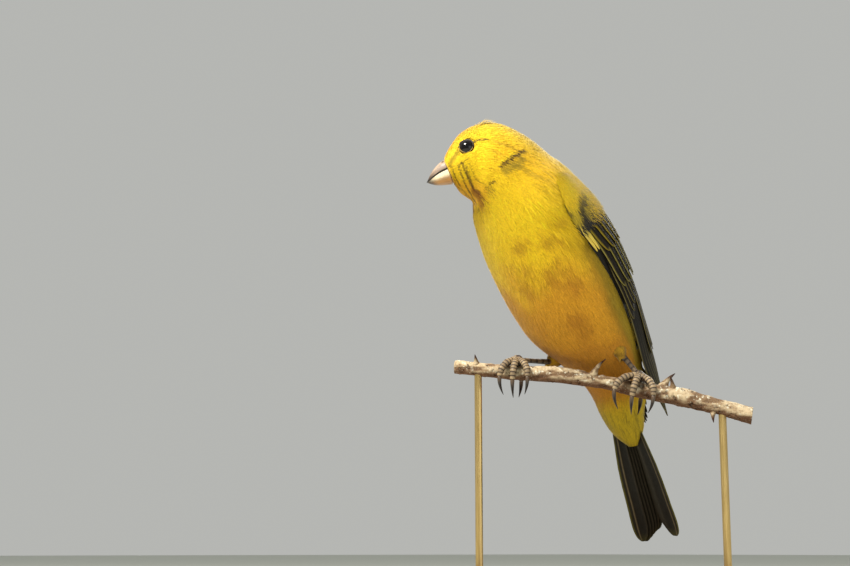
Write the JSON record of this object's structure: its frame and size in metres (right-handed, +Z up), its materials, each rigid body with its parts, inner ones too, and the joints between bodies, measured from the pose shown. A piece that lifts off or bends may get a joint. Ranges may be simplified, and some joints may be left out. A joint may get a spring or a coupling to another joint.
{
  "type": "perched songbird model",
  "caption": "Life-size still model of a small yellow songbird gripping a cut thorny branch, held over a round turned base by two rods.",
  "frame": {"origin": "middle of the underside of the round base", "axes": "+Z up out of the base, -Y the way the bird's breast faces, +X to the bird's left"},
  "size_m": [0.096, 0.096, 0.1227],
  "materials": {
    "plumage_yellow": "soft body feathers",
    "feather_dark": "dark flight feathers with yellow green edges",
    "tail_feather": "dark grey brown tail feathers",
    "bill_horn": "pale pinkish horn",
    "eye_dark": "wet black brown",
    "leg_skin": "dark purplish brown scaly skin",
    "claw_horn": "dark horn",
    "bark": "grey buff bark with pale specks",
    "stand_wood": "turned dark wood, satin",
    "stand_brass": "brushed brass rod"
  },
  "bodies": {
    "root": {"head": "plumage_yellow", "neck": "plumage_yellow", "torso": "plumage_yellow", "tail": "tail_feather", "bill_upper": "bill_horn", "bill_lower": "bill_horn", "eye_left": "eye_dark", "wing_left": "feather_dark", "thigh_left": "plumage_yellow", "shank_left": "leg_skin", "foot_left": "leg_skin", "claw_left_hind": "claw_horn", "claw_left_inner": "claw_horn", "claw_left_middle": "claw_horn", "claw_left_outer": "claw_horn", "eye_right": "eye_dark", "wing_right": "feather_dark", "thigh_right": "plumage_yellow", "shank_right": "leg_skin", "foot_right": "leg_skin", "claw_right_hind": "claw_horn", "claw_right_inner": "claw_horn", "claw_right_middle": "claw_horn", "claw_right_outer": "claw_horn", "branch": "bark", "stand_base": "stand_wood", "stand_rod_1": "stand_brass", "stand_rod_2": "stand_brass"}
  },
  "joints": []
}
